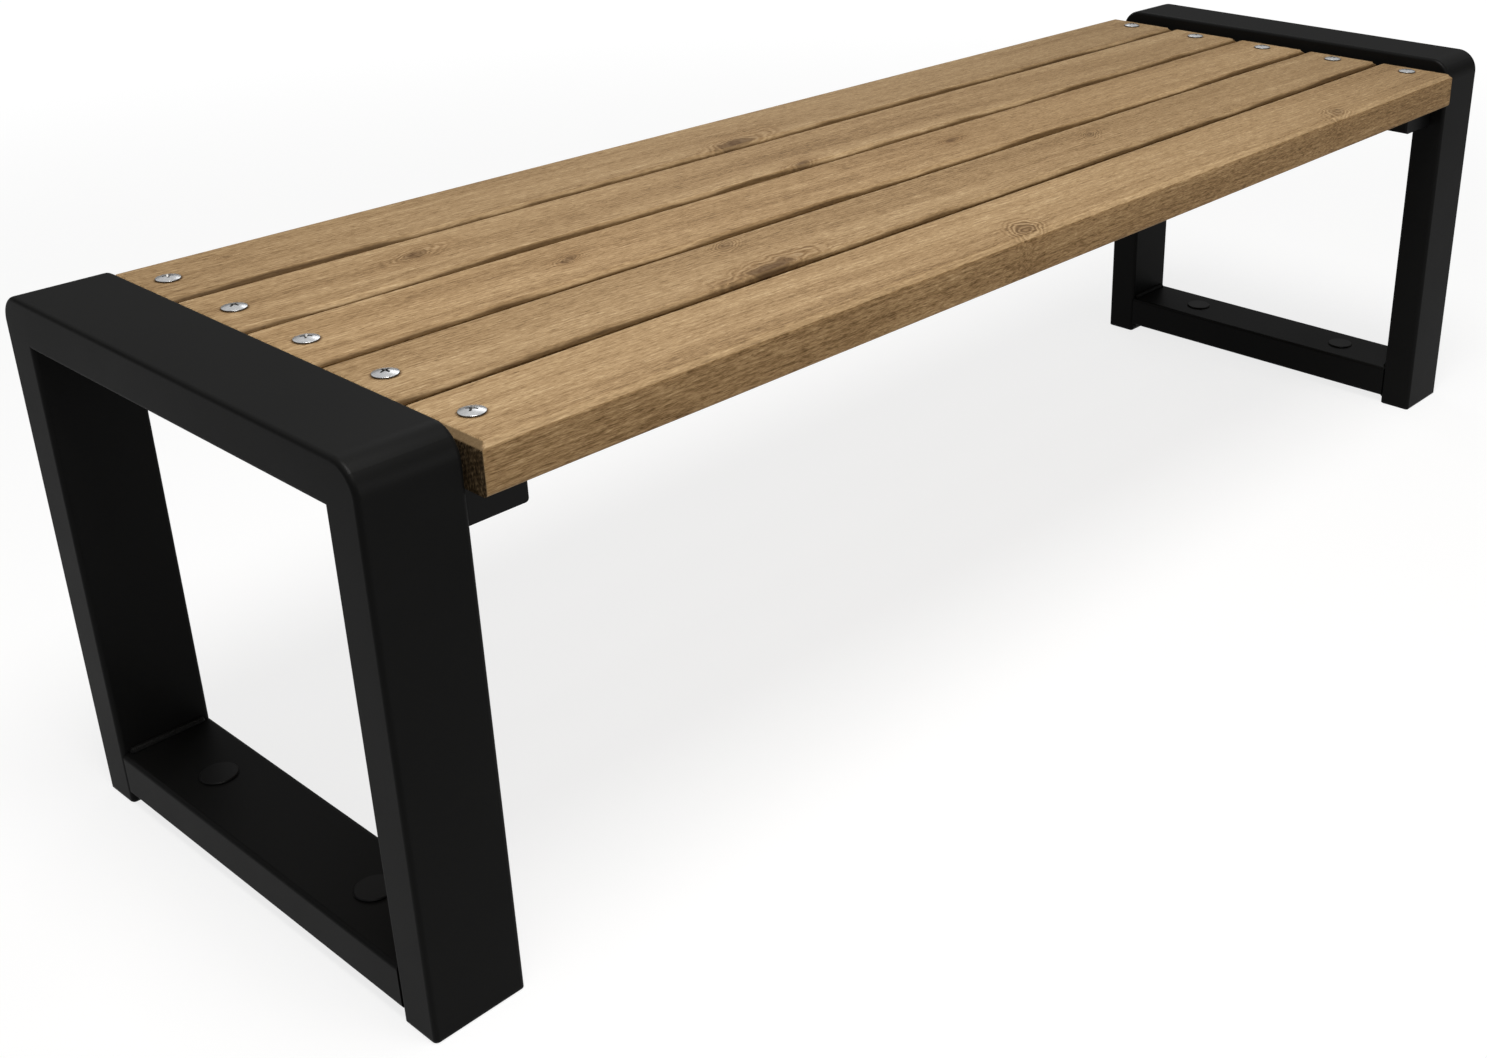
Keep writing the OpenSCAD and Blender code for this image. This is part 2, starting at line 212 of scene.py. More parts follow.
class Shader:
    """A node material under construction. Sockets and plain numbers can be mixed freely."""

    def __init__(self, name):
        self.material = bpy.data.materials.new(name)
        self.material.use_nodes = True
        self.tree = self.material.node_tree
        self.tree.nodes.clear()

    def node(self, kind, **settings):
        made = self.tree.nodes.new(kind)
        for key, value in settings.items():
            setattr(made, key, value)
        return made

    def feed(self, socket, value):
        if isinstance(value, bpy.types.NodeSocket):
            self.tree.links.new(value, socket)
        else:
            socket.default_value = value

    def feed_all(self, node, *values):
        for socket, value in zip(node.inputs, values):
            self.feed(socket, value)
        return node

    def coords(self):
        return self.node("ShaderNodeTexCoord").outputs["Object"]

    def normal(self):
        return self.split(self.node("ShaderNodeNewGeometry").outputs["Normal"])

    def split(self, vector):
        return self.feed_all(self.node("ShaderNodeSeparateXYZ"), vector).outputs[:]

    def join(self, x, y, z):
        return self.feed_all(self.node("ShaderNodeCombineXYZ"), x, y, z).outputs[0]

    def math(self, operation, a, b=0.0, c=0.0):
        return self.feed_all(self.node("ShaderNodeMath", operation=operation), a, b, c).outputs[0]

    def add(self, a, b):
        return self.math("ADD", a, b)

    def times(self, a, b):
        return self.math("MULTIPLY", a, b)

    def total(self, *terms):
        result = terms[0]
        for term in terms[1:]:
            result = self.add(result, term)
        return result

    def length(self, a, b):
        return self.math("SQRT", self.add(self.times(a, a), self.times(b, b)))

    def step(self, value, low, high):
        """0 at low, 1 at high, smooth between; low may be the larger."""
        node = self.node("ShaderNodeMapRange", interpolation_type="SMOOTHSTEP")
        return self.feed_all(node, value, low, high, 0.0, 1.0).outputs[0]

    def noise(self, vector, scale=1.0, detail=2.0, roughness=0.5, distortion=0.0):
        node = self.node("ShaderNodeTexNoise")
        self.feed(node.inputs["Vector"], vector)
        node.inputs["Scale"].default_value = scale
        node.inputs["Detail"].default_value = detail
        node.inputs["Roughness"].default_value = roughness
        node.inputs["Distortion"].default_value = distortion
        return node.outputs[0]

    def centred(self, value, factor):
        """A 0 to 1 value turned into a swing of factor about zero."""
        return self.math("MULTIPLY_ADD", value, 2.0 * factor, -factor)

    def blend(self, factor, a, b, mode="MIX"):
        node = self.node("ShaderNodeMix", data_type="RGBA", blend_type=mode, clamp_factor=True)
        self.feed(node.inputs[MIX_FACTOR], factor)
        for place, value in zip(MIX_COLOURS, (a, b)):
            self.feed(node.inputs[place], value)
        return node.outputs[MIX_COLOUR_OUT]

    def ramp(self, value, stops):
        node = self.node("ShaderNodeValToRGB")
        self.feed(node.inputs[0], value)
        elements = node.color_ramp.elements
        while len(elements) < len(stops):
            elements.new(1.0)
        for element, (place, colour) in zip(elements, stops):
            element.position = place
            element.color = (*colour, 1.0)
        return node.outputs[0]

    def bump(self, *layers):
        """Stacks (height, distance in metres, strength) layers into one normal."""
        normal = None
        for height, distance, strength in layers:
            node = self.node("ShaderNodeBump")
            self.feed(node.inputs["Height"], height)
            node.inputs["Distance"].default_value = distance
            node.inputs["Strength"].default_value = strength
            if normal is not None:
                self.feed(node.inputs["Normal"], normal)
            normal = node.outputs[0]
        return normal

    def surface(self, colour, roughness, normal=None, **fixed):
        shader = self.node("ShaderNodeBsdfPrincipled")
        self.feed(shader.inputs["Base Color"], colour)
        self.feed(shader.inputs["Roughness"], roughness)
        if normal is not None:
            self.feed(shader.inputs["Normal"], normal)
        for name, value in fixed.items():
            self.feed(shader.inputs[name.replace("_", " ")], value)
        out = self.node("ShaderNodeOutputMaterial")
        self.tree.links.new(shader.outputs[0], out.inputs["Surface"])


def new_object(name, shape):
    """Turns a finished bmesh into a linked object."""
    mesh = bpy.data.meshes.new(name)
    shape.to_mesh(mesh)
    shape.free()
    made = bpy.data.objects.new(name, mesh)
    bpy.context.scene.collection.objects.link(made)
    return made


def set_material(piece, material):
    piece.data.materials.clear()
    piece.data.materials.append(material)


def smooth_faces(shape):
    for face in shape.faces:
        face.smooth = True


# ---- Timber: sizes and tones ----

SLAT_LO = {name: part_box(name)[0] for name in SLATS}
SLAT_HI = {name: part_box(name)[1] for name in SLATS}
TOP_CHAMFER = 4 * MM
BOTTOM_CHAMFER = 2 * MM
END_CHAMFER = 6 * MM

# Seed, brightness and warmth of each slat's timber.
TIMBER = {
    "slat_front": (3.1, 1.00, 1.000),
    "slat_front_mid": (8.7, 0.98, 0.996),
    "slat_middle": (14.3, 1.02, 1.006),
    "slat_rear_mid": (21.9, 0.97, 1.002),
    "slat_rear": (29.5, 0.94, 0.998),
}

# Knots of each slat: place along the bench, place across the slat from its middle,
# radius, stretch along the grain, turn in degrees, darkness of the core, strength of the whorls.
KNOTS = {
    "slat_front": (
        (-0.118, -0.034, 0.0095, 1.7, 42.0, 0.45, 0.34),
        (0.445, -0.036, 0.0090, 1.9, 25.0, 0.45, 0.28),
    ),
    "slat_front_mid": (
        (-0.345, -0.041, 0.0105, 3.2, 10.0, 1.0, 0.28),
        (-0.325, 0.030, 0.0060, 2.2, 40.0, 0.40, 0.20),
        (0.185, 0.012, 0.0055, 2.2, 30.0, 0.35, 0.25),
    ),
    "slat_middle": (
        (-0.438, 0.001, 0.0050, 1.9, 20.0, 0.70, 0.18),
        (0.070, 0.006, 0.0045, 2.2, 10.0, 0.85, 0.15),
    ),
    "slat_rear_mid": (
        (-0.515, 0.006, 0.0070, 2.6, 15.0, 0.65, 0.22),
        (-0.100, -0.043, 0.0060, 2.2, 15.0, 0.95, 0.20),
    ),
    "slat_rear": (
        (-0.625, 0.017, 0.0035, 1.6, 10.0, 0.50, 0.15),
        (-0.090, -0.039, 0.0095, 3.2, 12.0, 1.0, 0.26),
    ),
}
# A knot leans as it goes down into the slat. Its outline is uneven: scale of the noise, and
# its swing in radii, across the knot and along it.
KNOT_LEAN = 0.35
KNOT_RAGGED = (52.0, 0.8)
KNOT_JAGGED = (40.0, 0.9)
# Where the dark core, the shadow round it and the whorls start and are full, in radii.
KNOT_CORE = (1.4, 0.4)
KNOT_HALO = (4.0, 0.8)
KNOT_WHORLS = (3.2, 0.9)
WHORL_PITCH = 0.48
WHORLS_LOST_ON_SIDES = 0.75
KNOT_HALO_DENSITY = 0.62
KNOT_HALO_TINT = (0.62, 0.54, 0.44, 1.0)
KNOT_CORE_DENSITY = 0.80
KNOT_CORE_COLOUR = (0.095, 0.050, 0.021, 1.0)

# The grain wanders and ripples: cycles per metre along the slat (and across it), and swing.
WANDER = (2.4, 9.0 * MM)
RIPPLE = (13.0, 22.0, 2.2 * MM)
GRAIN_SLOPE = 0.035
# Fibres: cycles per metre along and across the grain, noise roughness, swing of the tone.
FIBRES = {
    "broad": (1.5, 34.0, 0.5, 0.40),
    "bands": (4.5, 150.0, 0.5, 0.14),
    "dashes": (38.0, 430.0, 0.5, 0.32),
    "strokes": (85.0, 900.0, 0.5, 0.52),
    "hairs": (190.0, 1700.0, 0.6, 0.60),
}
# Marks: cycles per metre along and across the grain, the noise value where they start and
# where they are full, and what they add to the tone.
MARKS = {
    "pale": (26.0, 480.0, 0.63, 0.78, 0.20),
    "pores": (70.0, 1300.0, 0.60, 0.74, -0.24),
    "flecks": (120.0, 330.0, 0.72, 0.80, -0.34),
}
# The rings are centred on a pith below the slat, which lies differently for each seed.
PITH_DEPTH = 55.0 * MM
PITH_SWING_DOWN = 4.0 * MM
PITH_SWING_ASIDE = 20.0 * MM
PITH_SEED_RATE = 1.7
RING_RATE = 1500.0
RING_UNEVEN = 2.5
RING_TONE = 0.05
TIMBER_TONE = 0.52
TIMBER_COLOURS = (
    (0.0, (0.130, 0.075, 0.032)),
    (0.30, (0.262, 0.163, 0.076)),
    (0.55, (0.375, 0.246, 0.124)),
    (0.78, (0.470, 0.322, 0.172)),
    (1.0, (0.600, 0.442, 0.262)),
)

# Sawn ends drink more oil and stay dark, with broken rings and open pores.
# The streaks: cycles per metre along, across and up the slat, and detail, roughness, distortion.
END_STREAKS = (40.0, 700.0, 160.0)
END_STREAK_NOISE = (3.0, 0.65, 1.2)
END_STREAK_TONE = 1.15
END_RING_RATE = 1700.0
END_RING_UNEVEN = 5.0
END_RING_TONE = 0.08
END_TONE = 0.47
END_COLOURS = (
    (0.0, (0.010, 0.006, 0.003)),
    (0.45, (0.070, 0.044, 0.021)),
    (1.0, (0.340, 0.235, 0.125)),
)
END_CHAMFER_DENSITY = 0.80
END_CHAMFER_COLOUR = (0.160, 0.107, 0.055, 1.0)

# Parts of the surface, told by one part of the normal: where each starts and is full.
UPRIGHT_SIDE = (0.80, 0.95)
SAWN_END = (0.85, 0.97)
SLANTED_END = (0.45, 0.65)
SLANTED_FROM_SIDE = (0.40, 0.60)
SLANTED_FROM_TOP = (0.95, 0.80)
SLANTED_NOT_END = (0.50, 0.30)
FACES_GAP = (0.35, 0.60)

# Painted shade darkens the upright long sides below the top. The chamfers are rubbed pale and painted
# lighter.
SIDE_PAINTED_SHADE = (1.0, 0.95, 0.86, 1.0)
CHAMFER_WEAR_AND_LIGHT_DENSITY = 0.35
CHAMFER_WEAR_AND_LIGHT_COLOUR = (0.41, 0.285, 0.155, 1.0)
CHAMFER_PAINTED_LIGHT = (1.14, 1.15, 1.16, 1.0)
# Painted shade on the sides that face a gap, where little light gets in, and the height where it
# starts.
GAP_PAINTED_SHADE = (0.36, 0.31, 0.24, 1.0)
GAP_CHAMFER_PAINTED_SHADE = (0.62, 0.58, 0.52, 1.0)
GAP_SHADE_EDGE = (0.0388, 0.0368)
# The edge of the painted shade is uneven: cycles per metre, detail and swing. The chamfer is painted
# darker where the same noise is low.
GAP_SHADE_RATE = 5.0
GAP_SHADE_DETAIL = 3.0
GAP_SHADE_SWING = 4.5 * MM
SHADED_GAP_CHAMFER = (0.62, 0.42)
# Painted contact shadow round the bolt heads: how far it reaches past a head, how dense it is and its
# tint.
BOLT_SHADOW_REACH = 2.4 * MM
BOLT_SHADOW_DENSITY = 0.85
BOLT_SHADOW_TINT = (0.30, 0.25, 0.20, 1.0)

# Roughness, and what the strokes and pores add to it; what each layer adds to the relief.
TIMBER_ROUGHNESS = 0.56
ROUGHER_IN_STROKES = 0.10
ROUGHER_IN_PORES = 0.12
RELIEF_OF_STROKES = 0.5
RELIEF_OF_PORES = -0.6
RELIEF_OF_HAIRS = 0.35
RELIEF_DEPTH = 0.25 * MM
RELIEF_STRENGTH = 0.55
TIMBER_SPECULAR = 0.12

# Where a point of a slat lies, and which parts of the surface it is on.
Board = namedtuple("Board", "along shift across up below upright slanted facing normal_y")
# What a knot does to the timber round it.
Knot = namedtuple("Knot", "push core halo whorl")


# ---- Timber: material ----

def board_places(sh, name):
    lo, hi = SLAT_LO[name], SLAT_HI[name]
    seed = TIMBER[name][0]
    x, y, z = sh.split(sh.coords())
    up = sh.add(z, -lo.z)
    normal_x, normal_y, normal_z = sh.normal()
    facing = sh.math("ABSOLUTE", normal_x)
    slanted = sh.times(
        sh.step(normal_z, *SLANTED_FROM_SIDE), sh.step(normal_z, *SLANTED_FROM_TOP)
    )
    return Board(
        along=x,
        shift=sh.add(x, seed),
        across=sh.add(y, -(lo.y + hi.y) / 2),
        up=up,
        below=sh.add(up, lo.z - hi.z),
        upright=sh.step(sh.math("ABSOLUTE", normal_y), *UPRIGHT_SIDE),
        slanted=sh.times(slanted, sh.step(facing, *SLANTED_NOT_END)),
        facing=facing,
        normal_y=normal_y,
    )


def knot_field(sh, board, row):
    """A knot parts the grain. It shows as whorls on the top, and hardly on the upright sides."""
    knot_x, knot_y, radius, stretch, turn, depth, curl = row
    cos_turn = math.cos(math.radians(turn))
    sin_turn = math.sin(math.radians(turn))
    ragged_scale, ragged_swing = KNOT_RAGGED
    jagged_scale, jagged_swing = KNOT_JAGGED
    ragged = sh.noise(sh.join(board.shift, board.across, board.up), ragged_scale)
    jagged = sh.noise(sh.join(board.shift, board.up, board.across), jagged_scale)
    along = sh.add(board.along, -knot_x)
    aside = sh.total(board.across, -knot_y, sh.times(board.below, KNOT_LEAN))
    dx = sh.total(
        sh.times(along, cos_turn / stretch),
        sh.times(aside, sin_turn / stretch),
        sh.centred(jagged, radius * jagged_swing),
    )
    dy = sh.total(
        sh.times(aside, cos_turn),
        sh.times(along, -sin_turn),
        sh.centred(ragged, radius * ragged_swing),
    )
    square = sh.add(sh.times(dx, dx), sh.times(dy, dy))
    nearness = sh.math("DIVIDE", radius ** 2, sh.math("MAXIMUM", square, radius ** 2))
    reach = sh.math("SQRT", square)

    def within(limits):
        start, full = limits
        return sh.step(reach, radius * start, radius * full)

    rings = sh.math("SINE", sh.times(reach, 2.0 * math.pi / (radius * WHORL_PITCH)))
    shown = sh.add(1.0, sh.times(board.upright, -WHORLS_LOST_ON_SIDES))
    return Knot(
        push=sh.times(dy, nearness),
        core=sh.times(within(KNOT_CORE), depth),
        halo=sh.times(within(KNOT_HALO), depth),
        whorl=sh.times(sh.times(rings, sh.times(within(KNOT_WHORLS), shown)), curl),
    )


def grain_place(sh, board, knots):
    """The place across the grain, which runs along the slat and parts round the knots."""
    wander_rate, wander_swing = WANDER
    wander = sh.noise(sh.join(sh.times(board.shift, wander_rate), board.across, board.up), detail=1.0)
    along_rate, across_rate, ripple_swing = RIPPLE
    ripple = sh.noise(sh.join(
        sh.times(board.shift, along_rate),
        sh.times(board.across, across_rate),
        sh.times(board.up, across_rate),
    ))
    grain = sh.total(
        board.across,
        sh.centred(wander, wander_swing),
        sh.centred(ripple, ripple_swing),
        sh.times(board.shift, GRAIN_SLOPE),
    )
    for knot in knots:
        grain = sh.math("SUBTRACT", grain, knot.push)
    return grain


def grain_layers(sh, board, grain):
    """The noise of each kind of fibre and mark, stretched along the grain."""

    def stretched(along_rate, across_rate, detail, roughness):
        place = sh.join(
            sh.times(board.shift, along_rate),
            sh.times(grain, across_rate),
            sh.times(board.up, across_rate),
        )
        return sh.noise(place, detail=detail, roughness=roughness)

    layers = {}
    for kind, (along_rate, across_rate, roughness, _) in FIBRES.items():
        layers[kind] = stretched(along_rate, across_rate, 2.0, roughness)
    for kind, (along_rate, across_rate, start, full, _) in MARKS.items():
        layers[kind] = sh.step(stretched(along_rate, across_rate, 1.0, 0.5), start, full)
    return layers


def ring_distance(sh, board, grain, seed):
    down = sh.add(board.up, PITH_DEPTH + PITH_SWING_DOWN * math.sin(seed))
    aside = sh.add(grain, PITH_SWING_ASIDE * math.sin(seed * PITH_SEED_RATE))
    return sh.length(down, aside)


def long_grain_colour(sh, layers, pith, knots):
    ring_place = sh.add(sh.times(pith, RING_RATE), sh.centred(layers["bands"], RING_UNEVEN))
    tone = sh.total(
        TIMBER_TONE,
        *(sh.centred(layers[kind], row[-1]) for kind, row in FIBRES.items()),
        sh.times(sh.math("SINE", ring_place), RING_TONE),
        *(sh.times(layers[kind], row[-1]) for kind, row in MARKS.items()),
        *(knot.whorl for knot in knots),
    )
    colour = sh.ramp(tone, TIMBER_COLOURS)
    for knot in knots:
        halo = sh.times(knot.halo, KNOT_HALO_DENSITY)
        colour = sh.blend(halo, colour, KNOT_HALO_TINT, "MULTIPLY")
        colour = sh.blend(sh.times(knot.core, KNOT_CORE_DENSITY), colour, KNOT_CORE_COLOUR)
    return colour


def with_sawn_ends(sh, board, pith, colour):
    place = sh.join(*(
        sh.times(part, rate)
        for part, rate in zip((board.shift, board.across, board.up), END_STREAKS)
    ))
    streaks = sh.noise(place, 1.0, *END_STREAK_NOISE)
    ring_place = sh.add(sh.times(pith, END_RING_RATE), sh.centred(streaks, END_RING_UNEVEN))
    tone = sh.total(
        END_TONE,
        sh.times(sh.math("SINE", ring_place), END_RING_TONE),
        sh.centred(streaks, END_STREAK_TONE),
    )
    slanted_end = sh.times(sh.step(board.facing, *SLANTED_END), END_CHAMFER_DENSITY)
    colour = sh.blend(slanted_end, colour, END_CHAMFER_COLOUR)
    return sh.blend(sh.step(board.facing, *SAWN_END), colour, sh.ramp(tone, END_COLOURS))


def with_painted_side_shade_and_chamfer_light(sh, board, colour):
    # Painted shade on the upright sides; the chamfers paler from wear and from painted light.
    colour = sh.blend(board.upright, colour, SIDE_PAINTED_SHADE, "MULTIPLY")
    colour = sh.blend(sh.times(board.slanted, CHAMFER_WEAR_AND_LIGHT_DENSITY), colour, CHAMFER_WEAR_AND_LIGHT_COLOUR)
    return sh.blend(board.slanted, colour, CHAMFER_PAINTED_LIGHT, "MULTIPLY")


def with_painted_gap_shade(sh, board, name, colour):
    """Paints shade on the sides that face a gap, from an uneven line in the chamfer down."""
    place = sh.join(sh.times(board.shift, GAP_SHADE_RATE), board.across, 0.0)
    slow = sh.noise(place, detail=GAP_SHADE_DETAIL)
    shade_below_line = sh.step(sh.add(board.up, sh.centred(slow, GAP_SHADE_SWING)), *GAP_SHADE_EDGE)
    chamfer = sh.times(board.slanted, sh.step(slow, *SHADED_GAP_CHAMFER))
    start, full = FACES_GAP
    gap_sides = []
    if name != SLATS[0]:
        gap_sides.append(sh.step(board.normal_y, -start, -full))
    if name != SLATS[-1]:
        gap_sides.append(sh.step(board.normal_y, start, full))
    # Painted shade: the chamfer, then the side below the line, darkened where they face a gap.
    for side in gap_sides:
        colour = sh.blend(sh.times(side, chamfer), colour, GAP_CHAMFER_PAINTED_SHADE, "MULTIPLY")
        colour = sh.blend(sh.times(side, shade_below_line), colour, GAP_PAINTED_SHADE, "MULTIPLY")
    return colour


def with_painted_bolt_shadow(sh, board, colour):
    for side in SIDES:
        bolts_lo, bolts_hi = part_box(side + "_slat_bolts")
        head_r = (bolts_hi.x - bolts_lo.x) / 2
        from_bolt = sh.add(board.along, -(bolts_lo.x + bolts_hi.x) / 2)
        reach = sh.length(from_bolt, board.across)
        # Painted shadow: a dark ring on the timber round each bolt head.
        painted_shade = sh.times(sh.step(reach, head_r + BOLT_SHADOW_REACH, head_r), BOLT_SHADOW_DENSITY)
        colour = sh.blend(painted_shade, colour, BOLT_SHADOW_TINT, "MULTIPLY")
    return colour


def timber_material(name):
    seed, brightness, warmth = TIMBER[name]
    sh = Shader("oak_" + name)
    board = board_places(sh, name)
    knots = [knot_field(sh, board, row) for row in KNOTS[name]]
    grain = grain_place(sh, board, knots)
    layers = grain_layers(sh, board, grain)
    pith = ring_distance(sh, board, grain, seed)
    colour = long_grain_colour(sh, layers, pith, knots)
    colour = with_sawn_ends(sh, board, pith, colour)
    colour = with_painted_side_shade_and_chamfer_light(sh, board, colour)
    colour = with_painted_gap_shade(sh, board, name, colour)
    colour = with_painted_bolt_shadow(sh, board, colour)
    tint = (brightness * warmth, brightness, brightness / warmth, 1.0)
    relief = sh.total(
        sh.centred(layers["strokes"], RELIEF_OF_STROKES),
        sh.times(layers["pores"], RELIEF_OF_PORES),
        sh.times(layers["hairs"], RELIEF_OF_HAIRS),
        *(knot.whorl for knot in knots),
    )
    sh.surface(
        colour=sh.blend(1.0, colour, tint, "MULTIPLY"),
        roughness=sh.total(
            TIMBER_ROUGHNESS,
            sh.centred(layers["strokes"], ROUGHER_IN_STROKES),
            sh.times(layers["pores"], ROUGHER_IN_PORES),
        ),
        normal=sh.bump((relief, RELIEF_DEPTH, RELIEF_STRENGTH)),
        Specular_IOR_Level=TIMBER_SPECULAR,
    )
    return sh.material


# ---- Timber: boards ----

EDGE_EASE = 0.6 * MM
SLAT_STEP = 4 * MM
END_STEPS = 4
# Wear of the faces, how many times that is added at an edge, and how far from one it reaches.
WEAR = 0.05 * MM
WEAR_AT_EDGE = 4.0
WEAR_REACH = 9 * MM
WEAR_RATE_ALONG = 9.0
WEAR_RATE_ACROSS = 25.0
BOLT_HOLE_R = 4.5 * MM
BOLT_HOLE_SIDES = 32
MERGE_DISTANCE = 0.001 * MM
NORMAL_WEIGHT = 100


def eased_outline(corners, ease):
    """Replaces each corner of a closed outline by two points that lie ease away from it."""
    out = []
    for i, corner in enumerate(corners):
        before = corners[i - 1]
        after = corners[(i + 1) % len(corners)]
        for other in (before, after):
            away = (other - corner).normalized()
            out.append(corner + away * ease)
    return out


def filled_outline(points, longest):
    """Splits the sides of a closed outline so that none is longer than longest."""
    out = []
    for i, point in enumerate(points):
        nxt = points[(i + 1) % len(points)]
        count = max(1, round((nxt - point).length / longest))
        out.extend(point.lerp(nxt, k / count) for k in range(count))
    return out


def slat_section(width, thickness):
    half = width / 2
    corners = [
        Vector((-half + BOTTOM_CHAMFER, 0.0)),
        Vector((half - BOTTOM_CHAMFER, 0.0)),
        Vector((half, BOTTOM_CHAMFER)),
        Vector((half, thickness - TOP_CHAMFER)),
        Vector((half - TOP_CHAMFER, thickness)),
        Vector((-half + TOP_CHAMFER, thickness)),
        Vector((-half, thickness - TOP_CHAMFER)),
        Vector((-half, BOTTOM_CHAMFER)),
    ]
    return filled_outline(eased_outline(corners, EDGE_EASE), SLAT_STEP)


def make_slat(name):
    lo, hi = SLAT_LO[name], SLAT_HI[name]
    width, thickness, length = hi.y - lo.y, hi.z - lo.z, hi.x - lo.x
    section = slat_section(width, thickness)
    seed = TIMBER[name][0]
    # The last stations follow the chamfer across the top of each end.
    inner = length / 2 - END_CHAMFER
    count = round(2 * inner / SLAT_STEP)
    stations = [-inner + 2 * inner * k / count for k in range(count + 1)]
    ends = [inner + END_CHAMFER * k / END_STEPS for k in range(1, END_STEPS + 1)]
    stations = [-x for x in reversed(ends)] + stations + ends
    shape = bmesh.new()
    loops = []
    for x in stations:
        loop = []
        past = max(0.0, abs(x) - inner)
        for point in section:
            place = Vector((x, point.x, min(point.y, thickness - past)))
            loop.append(shape.verts.new(worn(place, width, thickness, seed)))
        loops.append(loop)
    join_loops(shape, loops)
    middle = ((lo.x + hi.x) / 2, (lo.y + hi.y) / 2, lo.z)
    bmesh.ops.translate(shape, verts=shape.verts, vec=middle)
    bmesh.ops.recalc_face_normals(shape, faces=shape.faces)
    smooth_faces(shape)
    slat = new_object(name + "_board", shape)
    set_material(slat, timber_material(name))
    cut_bolt_holes(slat, lo, hi)
    finish_piece(slat, name)


def worn(place, width, thickness, seed):
    """Draws a point of the slat inwards a little, most along its edges, as sanding and use do."""
    wave = 0.5 + 0.5 * noise.noise(Vector((
        place.x * WEAR_RATE_ALONG, place.y * WEAR_RATE_ACROSS, place.z * WEAR_RATE_ACROSS + seed
    )))
    side = width / 2 - abs(place.y)
    top = min(place.z, thickness - place.z)
    near_edge = max(0.0, 1.0 - (side + top) / WEAR_REACH)
    depth = WEAR * wave * (1.0 + WEAR_AT_EDGE * near_edge)
    return place + Vector((
        -math.copysign(WEAR * wave, place.x) if abs(place.x) > WEAR else 0.0,
        -math.copysign(depth, place.y),
        -depth if place.z > thickness / 2 else depth,
    ))


def join_loops(shape, loops):
    """Skins a row of loops with as many points each, and closes both ends."""
    for first, second in zip(loops, loops[1:]):
        for i in range(len(first)):
            j = (i + 1) % len(first)
            shape.faces.new((first[i], first[j], second[j], second[i]))
    shape.faces.new(loops[0][::-1])
    shape.faces.new(loops[-1])


def cut_bolt_holes(slat, lo, hi):
    """Drills the slat where the bolts of both ends go through it."""
    shape = bmesh.new()
    for side in SIDES:
        bolts_lo, bolts_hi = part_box(side + "_slat_bolts")
        place = Vector(((bolts_lo.x + bolts_hi.x) / 2, (lo.y + hi.y) / 2, (lo.z + hi.z) / 2))
        bmesh.ops.create_cone(
            shape, cap_ends=True, segments=BOLT_HOLE_SIDES, radius1=BOLT_HOLE_R,
            radius2=BOLT_HOLE_R, depth=2 * (hi.z - lo.z), matrix=Matrix.Translation(place),
        )
    drill = new_object("drill", shape)
    set_material(drill, slat.data.materials[0])
    subtract(slat, drill)


def subtract(piece, cutter):
    """Cuts one object out of another for good, and removes the cutter."""
    cut = piece.modifiers.new("cut", "BOOLEAN")
    cut.operation = "DIFFERENCE"
    cut.solver = "EXACT"
    cut.material_mode = "TRANSFER"
    cut.object = cutter
    seen = piece.evaluated_get(bpy.context.evaluated_depsgraph_get())
    mesh = bpy.data.meshes.new_from_object(seen)
    piece.modifiers.clear()
    old = piece.data
    piece.data = mesh
    bpy.data.meshes.remove(old)
    bpy.data.objects.remove(cutter)


def merge_points(piece):
    """Joins the points that cuts have left on top of each other."""
    shape = bmesh.new()
    shape.from_mesh(piece.data)
    bmesh.ops.remove_doubles(shape, verts=shape.verts, dist=MERGE_DISTANCE)
    shape.to_mesh(piece.data)
    shape.free()


def finish_piece(piece, replaced):
    """Ties a piece to the frame, and shades its wide faces flat and the narrow ones round."""
    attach(piece, BODY)
    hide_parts(replaced)
    modifier = piece.modifiers.new("normals", "WEIGHTED_NORMAL")
    modifier.mode = "FACE_AREA"
    modifier.weight = NORMAL_WEIGHT
    modifier.keep_sharp = True


# ---- Bolts ----

HEAD_SIDES = 64
HEAD_RIM_ROUND = 0.45 * MM
HEAD_RIM_STEPS = 5
HEAD_RIM_H = 1.35 * MM
HEAD_FOOT_ROUND = 0.15 * MM
DOME_STEPS = 10
BOLT_R = 4 * MM
BOLT_TIP = 0.8 * MM
RECESS_DEPTH = 2.1 * MM
# Half length and half width of an arm of the cross recess, at its mouth and at its floor.
RECESS_MOUTH = (4.9 * MM, 1.0 * MM)
RECESS_FLOOR = (2.4 * MM, 0.55 * MM)
# Radius of the tapered middle of the recess, at its mouth and at its floor.
RECESS_MIDDLE_MOUTH = 2.1 * MM
RECESS_MIDDLE_FLOOR = 0.9 * MM
RECESS_MIDDLE_SIDES = 16
# How far each bolt was turned when it was driven home, in degrees, from the front slat back.
BOLT_TURNS = {"left": (38, 12, 55, 25, 70), "right": (20, 64, 5, 47, 80)}


